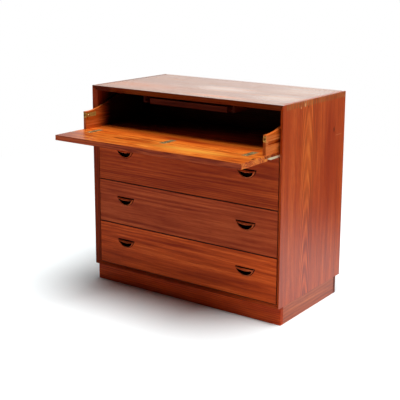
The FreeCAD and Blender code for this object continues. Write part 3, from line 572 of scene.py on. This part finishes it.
# Halves are measured across, and edges and depths down from the pocket's straight edge.
FOOT_HALF, FOOT_EDGE, FOOT_DEPTH = 0.0457, 0.0003, 0.0357
BLOCK_HALF, BLOCK_EDGE, BLOCK_DEPTH = 0.0400, 0.0048, 0.0343
HOLE_HALF, HOLE_EDGE, HOLE_DEPTH, NOSE_DEPTH = 0.0358, 0.0080, 0.0318, 0.0138
RIM_WIDTH, RIM_LIFT = 0.0010, 0.0008
LIP_HALF, LIP_FADE = 0.033, 0.006
# These stand out of the front's face, or lie behind it where they are negative.
STEP_FLOOR = -0.0021
FOOT_LOW, FOOT_HIGH = STEP_FLOOR - 0.00005, STEP_FLOOR + 0.0002
GROOVE_FLOOR, GROOVE_RISE = -0.0062, 0.0043
SLOPE_FOOT, SLOPE_RISE = -0.0020, 0.0022
SLOPE_SHARE = 0.15
LIP_BACK = -0.0080
CREST_LOW, CREST_DROP, NOSE_DROP = 0.0003, 0.0004, 0.0012
# The hole's own wall, counted from the foot's.
HOLE_WALL = 5


def half_moon(half, edge, depth):
    """Points from left to right along the arc of a half-moon below its edge, as (across, down)."""
    rise = depth - edge
    radius = (half * half + rise * rise) / (2 * rise)
    reach = math.atan2(half, radius - rise)
    angles = [reach * (2 * k / ARC_STEPS - 1) for k in range(ARC_STEPS + 1)]
    return [(radius * math.sin(angle), depth - radius + radius * math.cos(angle)) for angle in angles]


def closed_ring(shape, arc, arc_out, line, line_out, place):
    """A closed loop of edges: an arc below and a flatter line back above, each with its heights."""
    points = [(across, down, arc_out(down)) for across, down in arc]
    points += [(across, down, line_out(across)) for across, down in reversed(line[1:-1])]
    ring = [shape.verts.new(place @ Vector((across, -down, out))) for across, down, out in points]
    return [shape.edges.new((ring[k - 1], ring[k])) for k in range(len(ring))]


def even(height):
    """A height that is the same along a whole line."""
    return lambda distance: height


def shoulder(across):
    """0 along the lip and 1 past its ends."""
    return min(1.0, max(0.0, (abs(across) - LIP_HALF) / LIP_FADE))


def carved_pulls(name, material, body, centre, up, out, proud):
    """A pair of carved pulls; proud is how far the rim would stand off the face at the top edge."""
    shape = bmesh.new()
    across_axis = Vector((1.0, 0.0, 0.0))

    def crest(down):
        return CREST_LOW + proud * (1.0 - down / FOOT_DEPTH)

    def groove(across):
        return GROOVE_FLOOR + GROOVE_RISE * shoulder(across)

    foot = half_moon(FOOT_HALF, FOOT_EDGE, FOOT_DEPTH)
    foot_top = [(across, FOOT_EDGE) for across, down in foot]
    block = half_moon(BLOCK_HALF, BLOCK_EDGE, BLOCK_DEPTH)
    block_top = [(across, BLOCK_EDGE) for across, down in block]
    hole = half_moon(HOLE_HALF, HOLE_EDGE, HOLE_DEPTH)
    nose = half_moon(HOLE_HALF, HOLE_EDGE, NOSE_DEPTH)
    rim = half_moon(HOLE_HALF + RIM_WIDTH, HOLE_EDGE - RIM_LIFT, HOLE_DEPTH + RIM_WIDTH)
    rim_top = half_moon(HOLE_HALF + RIM_WIDTH, HOLE_EDGE - RIM_LIFT, NOSE_DEPTH - RIM_WIDTH)
    nose_out = crest(NOSE_DEPTH)
    for side in (-1, 1):
        place = Matrix((across_axis, Vector(up), Vector(out))).transposed().to_4x4()
        place = Matrix.Translation(Vector(centre) + side * PULL_SPACING / 2 * across_axis) @ place
        rings = [
            closed_ring(shape, foot, even(FOOT_LOW), foot_top,
                        lambda across: LIP_BACK + (STEP_FLOOR - LIP_BACK) * shoulder(across), place),
            closed_ring(shape, foot, even(FOOT_HIGH), foot_top, groove, place),
            closed_ring(shape, block, even(FOOT_HIGH), block_top, groove, place),
            closed_ring(shape, block, lambda down: SLOPE_SHARE * crest(down), block_top,
                        lambda across: SLOPE_FOOT + SLOPE_RISE * shoulder(across), place),
            closed_ring(shape, rim, crest, rim_top, even(nose_out), place),
            closed_ring(shape, hole, lambda down: crest(down) - CREST_DROP, nose,
                        even(nose_out - NOSE_DROP), place),
            closed_ring(shape, hole, even(FOOT_LOW), nose, even(LIP_BACK), place),
        ]
        walls = []
        for first, second in zip(rings, rings[1:] + rings[:1]):
            walls.append(bmesh.ops.bridge_loops(shape, edges=first + second)["faces"])
        for face in walls[HOLE_WALL]:
            face.material_index = 1
    bmesh.ops.recalc_face_normals(shape, faces=shape.faces)
    pulls = piece(name, shape, material, body, sharp=60)
    pulls.data.materials.append(hole_shade_teak)
    smoothing = pulls.modifiers.new("carved_smooth", "SUBSURF")
    smoothing.levels = 1
    smoothing.render_levels = 1
    return pulls


FRONT_PROUD = 0.0120
for name, (tones, heart, band, pull_top) in drawer_looks.items():
    middle = (0.0, FRONT_FACE, pull_top)
    front_teak = sawn_wood(
        "oiled_teak_" + name, tones, "X", heart, band=band, stretch=0.04, ring=4.0, shine=0.12,
        marks=pocket_shade(middle, (0, 0, 1), (0, -1, 0)) + edge_shade(name + "_front"))
    dress(front_teak, name + "_front")
    dress(drawer_beech, name + "_side_left", name + "_side_right")
    dress(back_beech, name + "_back")
    dress(bottom_plywood, name + "_bottom")
    carved = carved_pulls(
        name + "_carved_pulls", pull_teak, name, middle, (0, 0, 1), (0, -1, 0), FRONT_PROUD)
    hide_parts(name + "_pulls")

# Writing drawer: its board and sides have stood in the dark inside the case, so the teak is still
# the orange and yellow of fresh wood. Two battens of pale beech run under the ends of the board.
# Towards the back the board and sides are toned dark, for the deep shade under the top.
board_teak = sawn_wood(
    "fresh_teak_writing_board", ("842408", "BE4A0E", "DE6A1C", "F0882E"), "X", (-0.2, 0.30, -0.64),
    ring=7.0, figure=0.16, band=26.0, gloss=0.34, spread=0.27, warp=18.0,
    marks=[
        ((0.10, -0.150, 0.6725), (0.30, 0.030, 0.01), "8A2404", 0.70, 0.9),
        ((-0.45, 0.24, 0.6725), (1.0, 0.33, 0.1), "200702", 0.9, 0.5),
    ])
desk_side_teak = sawn_wood(
    "fresh_teak_desk_sides", ("98380A", "CE5E18", "E27A38", "EC9252"), "Y", (0.36, 0.1, -0.72),
    band=30.0, gloss=0.38, shine=0.14,
    marks=[
        ((0.0, 0.25, 0.74), (PAST_ALL, 0.39, PAST_ALL), "140501", 0.98, 0.2),
        # A dark strip along the right side's outer face is painted shade in its runner groove.
        ((0.4385, -0.10, 0.7155), (0.004, 0.110, 0.006), "2A0A04", 0.8, 0.4),
    ])
# The desk's back is coloured nearly black: painted shade, for the deep shade under the top.
desk_back_shade_teak = sawn_wood(
    "painted_shade_desk_back", ("200A03", "2C0F05", "36140A", "401A0C"), "X", (0.4, 0.1, -0.5), band=40.0,
    gloss=0.4, shine=0.12)
dress(board_teak, "writing_board")
dress(desk_side_teak, "desk_side_left", "desk_side_right")
dress(desk_back_shade_teak, "desk_back")
batten_beech = sawn_wood(
    "pale_beech_battens", ("CDB48E", "DDC9A8", "E8D8BC"), "Y", (0.1, 0.3, 0.4), gloss=0.45, pores=0.15)
dress(batten_beech, "desk_batten_left", "desk_batten_right")

# Hinges: three flush brass hinges, dulled by handling. One leaf is let into the board and one into
# the flap, and each leaf is held by three small slotted screws.
aged_brass = turned_metal("aged_brass", ("A58C62", "C8B284"), 0.50)
dress(aged_brass, "hinge_board_leaves", "hinge_pins", "hinge_flap_leaves")
LEAF_HEAD, LEAF_RISE = 0.0028, 0.0005


def raised_head():
    """A low slotted screw head that stands on z = 0."""
    shape = bmesh.new()
    head = bmesh.ops.create_cone(
        shape, cap_ends=True, segments=20, radius1=LEAF_HEAD, radius2=0.82 * LEAF_HEAD, depth=LEAF_RISE)
    bmesh.ops.translate(shape, vec=(0, 0, LEAF_RISE / 2), verts=head["verts"])
    sawn_slot(shape, 0.22 * LEAF_HEAD, 0.8 * LEAF_RISE)
    return shape


AXIS_Y = -0.21025
SURFACE_Z = 0.6725
HINGE_SPACING = 0.375
BOARD_HOLES = ((0.017, -0.007), (0.017, 0.007), (0.034, 0.0))
FLAP_HOLES = ((-0.016, -0.007), (-0.016, 0.007), (-0.029, 0.0))
board_heads = []
flap_heads = []
for number in (-1, 0, 1):
    for y, x_off in BOARD_HOLES:
        point = (number * HINGE_SPACING + x_off, AXIS_Y + y, SURFACE_Z)
        board_heads.append(turned_to((0, 0, 1), point, 50 * number + 900 * y))
    for y, x_off in FLAP_HOLES:
        point = (number * HINGE_SPACING + x_off, AXIS_Y + y, SURFACE_Z)
        flap_heads.append(turned_to((0, 0, 1), point, 35 * number + 700 * y))
brass_screws = turned_metal("dull_brass_screws", ("7A6238", "A88C58"), 0.3)
piece("hinge_board_screws", stamped(raised_head(), board_heads), brass_screws, "desk_drawer")
piece("hinge_flap_screws", stamped(raised_head(), flap_heads), brass_screws, "flap")

# Catches: brass housings let into the front ends of the desk's sides, yellow under old lacquer. Their
# bolts have a round knob that fingers keep bright, and seat in strike plates let flush into the flap.
bright_brass = turned_metal("lacquered_brass", ("D09A40", "F2CC70"), 0.40, metallic=0.5)
dress(bright_brass, "catch_housing_left", "catch_housing_right")
knob_brass = turned_metal("bright_brass_bolts", ("D9BE84", "F2E2BC"), 0.22)
dress(knob_brass, "catch_bolt_left", "catch_bolt_right", "strike_plates")

# Flap: a teak board on the hinges, with the same carved pulls let into its outer face. Its inside is
# as fresh as the writing board and continues its grain, with a knot and streaks. Its outside and
# front edge have darkened like the other fronts.
FLAP_PULLS = (0.0, -0.30325, 0.6515)
FLAP_PROUD = 0.0002
flap_teak = sawn_wood(
    "fresh_teak_flap", ("8C2E08", "C25410", "E07222", "F29638"), "X", (-0.2, 0.33, -0.64), ring=7.0,
    figure=0.16, band=26.0, gloss=0.34, spread=0.27, warp=18.0,
    outside=("6E1E08", "8E3010", "A44018", "B85024"), end_tone=1.12, shine=0.28,
    marks=pocket_shade(FLAP_PULLS, (0, -1, 0), (0, 0, -1)) + [
        ((-0.46, -0.34, 0.6725), (0.26, 0.15, 0.01), "7A3018", 0.80, 0.9),
        ((0.16, -0.285, 0.6725), (0.26, 0.036, 0.01), "FFB848", 0.60, 0.9),
        ((-0.198, -0.263, 0.6725), (0.034, 0.011, 0.01), "4E0E02", 0.95, 0.8),
        ((-0.11, -0.243, 0.6725), (0.120, 0.010, 0.01), "7A2006", 0.75, 0.9),
        ((-0.073, -0.222, 0.6725), (0.090, 0.013, 0.01), "862406", 0.80, 0.9),
        ((0.30, -0.235, 0.6725), (0.160, 0.013, 0.01), "9A3408", 0.65, 0.9),
        ((-0.30, -0.300, 0.6725), (0.120, 0.012, 0.01), "A03C0C", 0.60, 0.9),
    ])
dress(flap_teak, "desk_flap")
# The flap's pulls darken behind its face in the same way: painted shade.
flap_pull_teak = sawn_wood(
    "carved_teak_flap_pulls", PULL_PAINTED_LIGHT_TONES, "X", (0.3, 0.2, 0.1), band=20.0, ring=3.0, gloss=0.32, shine=0.15,
    deep=(2, FLAP_PULLS[2] + 0.0003, FLAP_PULLS[2] + 0.0018))
flap_pulls = carved_pulls(
    "desk_flap_carved_pulls", flap_pull_teak, "flap", FLAP_PULLS, (0, -1, 0), (0, 0, -1), FLAP_PROUD)
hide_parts("desk_flap_pulls")

# Pencil tray: a shallow box of oiled teak with a thin plywood bottom, which slides on two hangers
# under the top. Its teak is toned dark, for the deep shade it hangs in.
TRAY_TONES = ("380C02", "4E1704", "602206", "6E2C0A")
tray_teak = sawn_wood(
    "oiled_teak_tray", TRAY_TONES, "X", (0.2, 0.3, 0.1), band=25.0, gloss=0.4, shine=0.12)
tray_side_teak = sawn_wood(
    "oiled_teak_tray_sides", TRAY_TONES, "Y", (0.2, 0.3, 0.1), band=25.0, gloss=0.4, shine=0.12)
dress(tray_teak, "tray_front", "tray_back")
dress(tray_side_teak, "tray_side_left", "tray_side_right", "tray_hanger_left", "tray_hanger_right")
dress(bottom_plywood, "tray_bottom")
